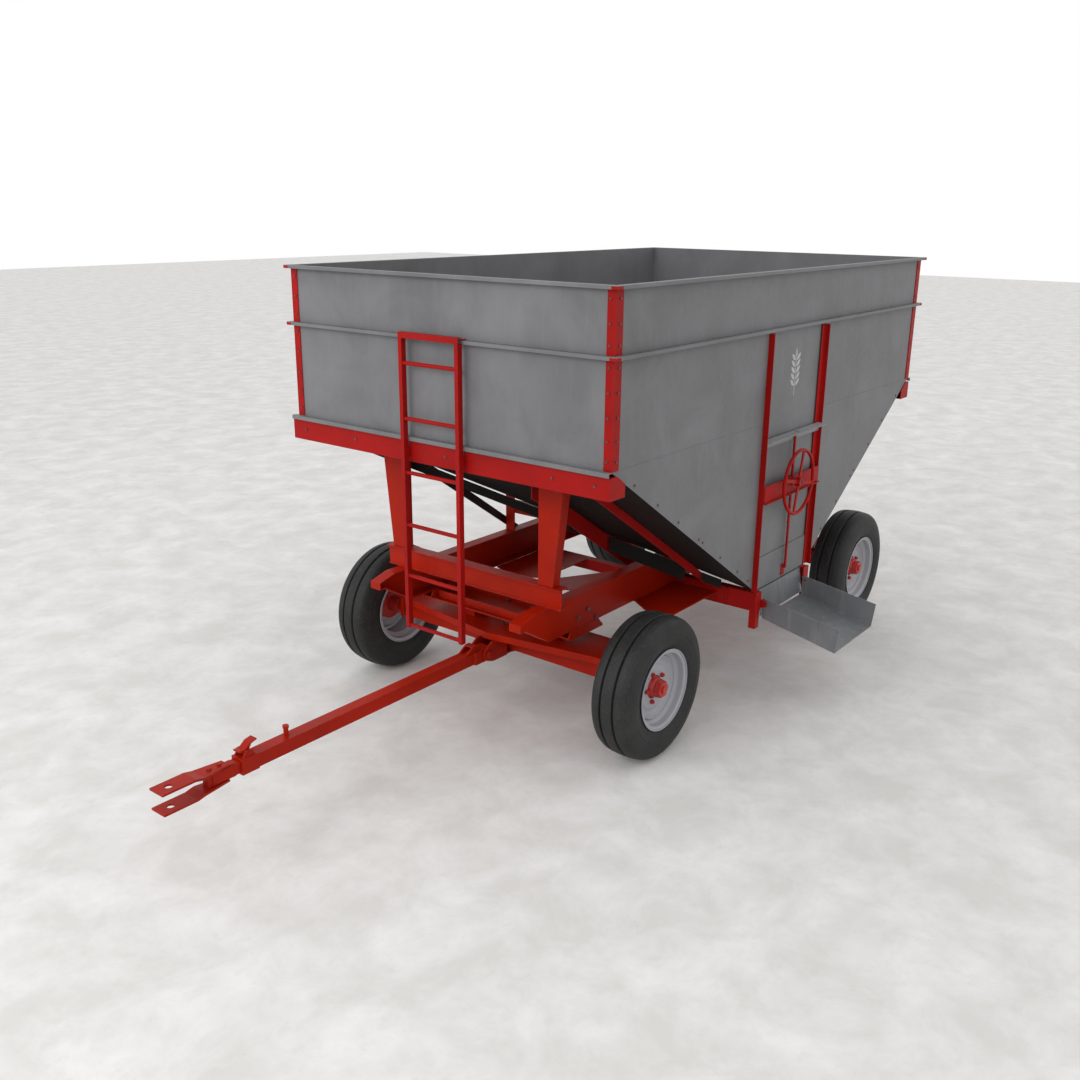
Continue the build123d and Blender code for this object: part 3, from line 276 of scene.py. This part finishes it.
# --------------------------------------------------------------- mesh helpers
def mesh_object(name, verts, faces, mat, body, slot, smooth=True):
    me = bpy.data.meshes.new(name)
    me.from_pydata([tuple(v) for v in verts], [], faces)
    me.validate()
    if smooth:
        me.polygons.foreach_set("use_smooth", [True] * len(me.polygons))
        me.set_sharp_from_angle(angle=math.radians(38))
    me.update()
    o = bpy.data.objects.new(name, me)
    bpy.context.scene.collection.objects.link(o)
    dress(o, mat)
    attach(o, body)
    return o


def round_profile(pts, r, steps=3):
    """Rounds the corners of an open (a, radius) polyline."""
    out = [pts[0]]
    for p, q, n in zip(pts, pts[1:], pts[2:]):
        p, q, n = map(lambda t: np.array(t[:2], float), (p, q, n))
        a, b = p - q, n - q
        d = min(r, np.linalg.norm(a) * 0.45, np.linalg.norm(b) * 0.45)
        s = q + a / np.linalg.norm(a) * d
        e = q + b / np.linalg.norm(b) * d
        for i in range(steps + 1):
            t = i / steps
            out.append(tuple((1 - t) ** 2 * s + 2 * t * (1 - t) * q + t * t * e))
    out.append(pts[-1])
    return out


def lathe(pts, centre, side, segs=96, closed=True):
    """Turns an (outboard mm, radius mm) profile about an axle."""
    verts, faces = [], []
    n = len(pts)
    for i in range(segs):
        t = 2 * math.pi * i / segs
        for a, r in pts:
            verts.append(centre + Vector((math.sin(t) * r, side * a,
                                          math.cos(t) * r)) / 1000)
    for i in range(segs):
        j = (i + 1) % segs
        for k in range(n if closed else n - 1):
            m = (k + 1) % n
            q = [i * n + k, i * n + m, j * n + m, j * n + k]
            faces.append(q if side < 0 else q[::-1])
    return verts, faces


# --------------------------------------------------------------------- wheels
TREAD = [(0, 369.6), (27, 369.0), (30, 366), (32, 353), (36, 351.5),
         (40, 353), (42, 365), (45, 367.4), (74, 362.6), (79, 359.5),
         (86, 357.0), (92, 352), (98, 344), (103.5, 332), (107.5, 318),
         (110.6, 304), (111.9, 292), (112.2, 282), (110.4, 279.5),
         (110.4, 275), (111.6, 272), (109.6, 258), (106.2, 246),
         (104.0, 238), (103.6, 233), (101.4, 231.5), (97.6, 222),
         (95, 216.6), (96, 213.6), (93, 211), (88.5, 204), (85.5, 192)]
RIM = [(97.5, 204.5), (102, 203.6), (103.9, 206.4), (103.2, 209.6),
       (99.5, 209.9), (95.6, 206.4), (94.2, 202), (92.6, 191.2), (89, 190.2),
       (60, 189.2), (54, 184), (45.5, 166), (40, 164.5), (-44, 164.5),
       (-50, 166), (-60, 189), (-90, 190.4), (-94, 205), (-99, 209.6),
       (-103.5, 207), (-102, 204), (-98, 203.6), (-96.3, 198), (-94.6, 187.4),
       (-64, 185.4), (-52, 162.3), (38, 162.3), (46, 163.4), (57, 178),
       (62.5, 185), (72, 186.6), (91, 187.6), (95.4, 190), (97, 197)]
DISC = [(37.6, 60.5), (38.0, 84), (38.0, 108), (36.4, 114), (31.6, 120.5),
        (30.2, 128), (31.2, 135.5), (36, 142.5), (43, 149), (50, 153.5),
        (52, 157), (52, 162.2), (46.5, 162.2), (38, 154), (27, 143),
        (23.4, 135), (23.4, 122), (28.4, 113), (31.4, 106), (31.4, 60.5)]


def bead(points, r, body, name, mat=None, slot="machine_red", lump=0.28):
    """A rippled weld bead along a run, as a closed tube."""
    pts = [Vector(p) for p in points]
    length = sum((b - a).length for a, b in zip(pts, pts[1:]))
    n = max(6, int(length / 0.0022))
    run = []
    for i in range(n + 1):
        d = length * i / n
        for a, b in zip(pts, pts[1:]):
            s = (b - a).length
            if d <= s + 1e-9:
                run.append((a + (b - a) * (d / s), (b - a).normalized()))
                break
            d -= s
    verts, faces, k = [], [], 8
    for i, (p, t) in enumerate(run):
        u = t.orthogonal().normalized()
        v = t.cross(u)
        rr = r * (1 - lump * 0.5 + lump * abs(math.sin(i * 1.05)))
        if i in (0, len(run) - 1):
            rr *= 0.35
        for j in range(k):
            w = 2 * math.pi * j / k
            verts.append(p + (u * math.cos(w) + v * math.sin(w)) * rr)
    for i in range(len(run) - 1):
        for j in range(k):
            q = (j + 1) % k
            faces.append([i * k + j, i * k + q, (i + 1) * k + q,
                          (i + 1) * k + j])
    faces.append(list(range(k))[::-1])
    faces.append([(len(run) - 1) * k + j for j in range(k)])
    return verts, faces


def join(parts):
    verts, faces = [], []
    for v, f in parts:
        o = len(verts)
        verts += list(v)
        faces += [[i + o for i in q] for q in f]
    return verts, faces


def stub(a, b, ra, rb, k=14):
    """A tapered pin from a to b with closed ends."""
    a, b = Vector(a), Vector(b)
    t = (b - a).normalized()
    u = t.orthogonal().normalized()
    v = t.cross(u)
    verts, faces = [], []
    stations = [(a, ra * 0.8), (a + t * ra * 0.2, ra), (b - t * rb * 0.3, rb),
                (b, rb * 0.7)]
    for p, r in stations:
        for j in range(k):
            w = 2 * math.pi * j / k
            verts.append(p + (u * math.cos(w) + v * math.sin(w)) * r)
    for i in range(len(stations) - 1):
        for j in range(k):
            q = (j + 1) % k
            faces.append([i * k + j, i * k + q, (i + 1) * k + q,
                          (i + 1) * k + j])
    faces.append(list(range(k))[::-1])
    faces.append([(len(stations) - 1) * k + j for j in range(k)])
    return verts, faces


def mid(node):
    lo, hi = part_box(node)
    return (Vector(lo) + Vector(hi)) / 2


for end in ("front", "rear"):
    for side, s in (("left", 1), ("right", -1)):
        corner = end + "_" + side
        c = mid("tyre_" + corner)
        half = round_profile(TREAD, 2.2, 2)
        inner = [(70, 192), (76, 206), (90, 235), (97, 262), (98, 285),
                 (92, 312), (80, 332), (50, 339), (0, 342)]
        prof = half + inner + [(-a, r) for a, r in inner[-2::-1]] \
            + [(-a, r) for a, r in half[:0:-1]]
        v, f = lathe(prof, c, s, 144)
        # fine moulded ribs round both shoulders
        extra = []
        for i in range(72):
            t = 2 * math.pi * (i + 0.5) / 72
            d = Vector((math.sin(t), 0, math.cos(t)))
            for o in (1, -1):
                a = c + Vector((0, s * o * 0.0955, 0)) + d * 0.3455
                b = c + Vector((0, s * o * 0.1062, 0)) + d * 0.3215
                extra.append(stub(a, b, 0.0016, 0.0012, 6))
        tyre = mesh_object("tyre_look_" + corner, *join([(v, f)] + extra),
                           MATS["tyre"], "wheel_" + corner, "tyre")
        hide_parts("tyre_" + corner)
        v, f = lathe(round_profile(RIM, 1.6, 3), c, s, 128)
        dv, df = lathe(round_profile(DISC, 2.0, 3), c, s, 128)
        # weld ring between disc and rim, and the valve
        ring = []
        for i in range(241):
            t = 2 * math.pi * i / 240
            ring.append(c + Vector((math.sin(t) * 0.1600, s * 0.0535,
                                    math.cos(t) * 0.1600)))
        wv, wf = bead(ring, 0.0032, None, "")
        ang = 0.9
        d = Vector((math.sin(ang), 0, math.cos(ang)))
        valve = stub(c + d * 0.176 + Vector((0, s * 0.052, 0)),
                     c + d * 0.158 + Vector((0, s * 0.088, 0)), 0.0046,
                     0.0038)
        rim = mesh_object("rim_look_" + corner,
                          *join([(v, f), (dv, df), (wv, wf), valve]),
                          MATS["wheel_silver"], "wheel_" + corner,
                          "wheel_silver")
        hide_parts("rim_" + corner)

# ---------------------------------------------------------------- weld beads
def weld(name, slot, runs, r):
    return mesh_object(name, *join([bead([Vector(p) for p in run], r, None, "")
                                    for run in runs]), MATS[slot], "wagon",
                       slot)


RUNG_R, RUNGS, RAIL_W = 0.010, 6, 0.022
lo, hi = (Vector(v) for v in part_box("ladder_rungs"))
rails = [Vector(v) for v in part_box("ladder_rails")]
xc = (lo.x + hi.x) / 2
runs = []
for i in range(RUNGS):
    z = lo.z + RUNG_R + (hi.z - lo.z - 2 * RUNG_R) * i / (RUNGS - 1)
    for y in (rails[0].y + RAIL_W + 0.0008, rails[1].y - RAIL_W - 0.0008):
        runs.append([(xc + 0.0105 * math.cos(t), y, z + 0.0105 * math.sin(t))
                     for t in [2 * math.pi * k / 14 for k in range(15)]])
weld("ladder_welds", "machine_red", runs, 0.0022)

# lap seam across the side wall, level with the foot of the end walls
wall_lo, wall_hi = (Vector(v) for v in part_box("left_wall"))
bars_lo, bars_hi = (Vector(v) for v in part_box("door_bars"))
WALL_Y = wall_hi.y
seam_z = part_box("wall_rails")[0][2] + 0.020
weld("lap_seam", "box_grey",
     [[(wall_hi.x - 0.075, WALL_Y, seam_z), (bars_hi.x + 0.01, WALL_Y, seam_z)],
      [(bars_lo.x - 0.01, WALL_Y, seam_z), (wall_lo.x + 0.075, WALL_Y, seam_z)]],
     0.0014)

# --------------------------------------------------------------- generic mark
MX, MZ = (bars_lo.x + bars_hi.x) / 2 * 1000, (wall_hi.z - 0.26) * 1000
mv, mf = [], []


def plate(outline, t=0.45):
    """A thin painted patch on the side wall; outline in (x, z) mm."""
    n = len(outline)
    o = len(mv)
    for d in (0.05, t):
        for x, z in outline:
            mv.append(Vector((x / 1000, WALL_Y + d / 1000, z / 1000)))
    mf.append([o + n + i for i in range(n)])
    mf.append([o + i for i in range(n)][::-1])
    for i in range(n):
        j = (i + 1) % n
        mf.append([o + i, o + j, o + n + j, o + n + i])


for k in range(5):
    z = -72 + k * 34
    for sd in (1, -1):
        base = (MX, MZ + z)
        tip = (MX + sd * 52, MZ + z + 40)
        d = Vector((tip[0] - base[0], tip[1] - base[1])).normalized()
        w = Vector((-d.y, d.x))
        pts = []
        for t, q in ((0.10, 0), (0.30, 8), (0.55, 12), (0.8, 8), (1.0, 0),
                     (0.8, -8), (0.55, -12), (0.30, -8)):
            p = Vector(base) + d * (66 * t) + w * q
            pts.append((p.x, p.y))
        plate(pts)
plate([(MX - 3, MZ - 120), (MX + 3, MZ - 120), (MX + 3, MZ + 84),
       (MX - 3, MZ + 84)])
plate([(MX - 9, MZ + 92), (MX, MZ + 86), (MX + 9, MZ + 92), (MX + 7, MZ + 118),
       (MX, MZ + 134), (MX - 7, MZ + 118)])
mesh_object("stencil_mark", mv, mf, MARK, "wagon", "trim_grey", smooth=False)

# ---------------------------------------------------------- camera and lights
az, el, roll = math.radians(38.14), math.radians(17.34), math.radians(0.5)
fwd = Vector((-math.cos(az) * math.cos(el), -math.sin(az) * math.cos(el),
              -math.sin(el)))
right = fwd.cross(Vector((0, 0, 1))).normalized()
up = right.cross(fwd)
r2 = right * math.cos(roll) + up * math.sin(roll)
u2 = -right * math.sin(roll) + up * math.cos(roll)
cam = bpy.data.objects.new("camera", bpy.data.cameras.new("camera"))
bpy.context.scene.collection.objects.link(cam)
cam.data.sensor_width = 36
cam.data.lens = 36
cam.data.clip_end = 200
m = Matrix((r2, u2, -fwd)).transposed().to_4x4()
m.translation = P(3675.3, 3509.1, 2656.4)
cam.matrix_world = m
bpy.context.scene.camera = cam


def area(name, loc, target, size, watts, colour=(1, 1, 1)):
    d = bpy.data.lights.new(name, "AREA")
    d.shape = "DISK"
    d.size = size
    d.energy = watts
    d.color = colour
    o = bpy.data.objects.new(name, d)
    bpy.context.scene.collection.objects.link(o)
    o.location = loc
    o.rotation_mode = "QUATERNION"
    o.rotation_quaternion = (Vector(target) - Vector(loc)).to_track_quat(
        "-Z", "Y")
    return o


area("key", (9.0, -1.5, 6.0), (0, 0, 1.0), 5.0, 300)

w = bpy.data.worlds.new("studio")
bpy.context.scene.world = w
w.use_nodes = True
bg = w.node_tree.nodes["Background"]
bg.inputs[0].default_value = (1, 1, 1, 1)
bg.inputs[1].default_value = 1.0
bpy.context.scene.view_settings.view_transform = "Standard"

k = Mat("floor_pale")
n1 = k.noise(3.2, 8, 0.66, distortion=0.3)
n2 = k.noise(11, 8, 0.7)
col = k.mix(k.ramp(n1, 0.38, 0.66), (0.64, 0.63, 0.61), (0.76, 0.755, 0.745))
col = k.mix(k.math("MULTIPLY", k.ramp(n2, 0.55, 0.75), 0.35), col,
            (0.54, 0.53, 0.51))
k.l(col, k.b.inputs["Base Color"])
k.l(k.ramp(n2, 0.3, 0.7, 0.62, 0.80), k.b.inputs["Roughness"])
k.b.inputs["Specular IOR Level"].default_value = 0.3
k.bump((n2, 0.10, 0.004))
fm = bpy.data.meshes.new("floor")
S = 40
fm.from_pydata([(-S, -S, 0), (S, -S, 0), (S, S, 0), (-S, S, 0)], [],
               [(0, 1, 2, 3)])
floor = bpy.data.objects.new("floor", fm)
bpy.context.scene.collection.objects.link(floor)
floor.data.materials.append(k.m)
